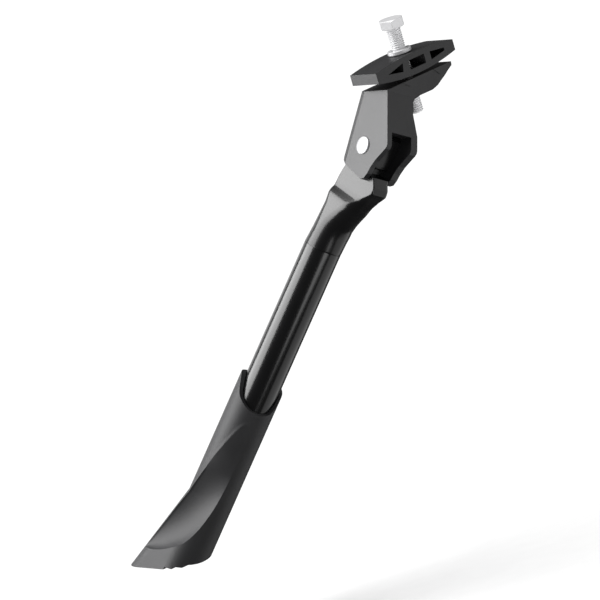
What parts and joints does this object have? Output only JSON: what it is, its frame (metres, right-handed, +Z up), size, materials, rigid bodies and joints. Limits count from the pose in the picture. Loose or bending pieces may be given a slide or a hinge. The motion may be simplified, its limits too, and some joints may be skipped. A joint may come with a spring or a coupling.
{
  "type": "bicycle kickstand",
  "caption": "Centre-mount bicycle side stand: a clamp bracket with a long hexagon bolt, a leg that swings on a riveted pin, and a sliding plastic foot.",
  "frame": {"origin": "where the clamp bolt's axis meets the bracket's clamp face", "axes": "+Z up along the clamp bolt, +Y towards the front of the bicycle, +X inwards across the bicycle, away from the leg"},
  "size_m": [0.2313, 0.2099, 0.3198],
  "materials": {
    "black_alloy": "satin black anodised, fine blasted grain",
    "black_tube": "glossy black anodised, polished",
    "zinc_steel": "bright zinc plated",
    "pin_steel": "bright, turned",
    "spring_steel": "plain spring steel, oiled",
    "black_nylon": "matte, finely grained",
    "black_steel": "black oxide"
  },
  "bodies": {
    "bracket": {"bracket": "black_alloy", "pivot_pin": "pin_steel", "detent_spring": "spring_steel"},
    "plunger": {"detent_plunger": "spring_steel"},
    "plate": {"clamp_plate": "black_alloy", "spring_washer": "zinc_steel"},
    "bolt": {"clamp_bolt": "zinc_steel"},
    "leg": {"leg_knuckle": "black_tube", "leg_tube": "black_tube"},
    "foot": {"foot_shoe": "black_nylon", "lock_nut": "zinc_steel"},
    "screw": {"lock_screw": "black_steel"}
  },
  "joints": [
    {"name": "leg_swing", "type": "hinge", "parent": "bracket", "child": "leg", "pos_m": [-0.03777, 0.00442, -0.03882], "axis": [-0.866, 0, 0.5], "range_deg": [0, 82]},
    {"name": "detent_slide", "type": "slide", "parent": "bracket", "child": "plunger", "axis": [-0.5, 0, -0.866], "range_m": [0, 0.00135], "stiffness_N_per_m": 4000, "springref_m": 0.004},
    {"name": "plate_slide", "type": "slide", "parent": "bracket", "child": "plate", "axis": [0, 0, 1], "range_m": [-0.0015, 0.0145]},
    {"name": "bolt_turn", "type": "hinge", "parent": "bracket", "child": "bolt", "pos_m": [0, 0, 0], "axis": [0, 0, 1], "continuous": true},
    {"name": "foot_slide", "type": "slide", "parent": "leg", "child": "foot", "axis": [-0.4479, 0.4446, -0.7757], "range_m": [-0.005, 0.025]},
    {"name": "screw_turn", "type": "hinge", "parent": "foot", "child": "screw", "pos_m": [-0.12493, 0.10307, -0.18978], "axis": [0.727, 0.6862, -0.0264], "continuous": true}
  ]
}
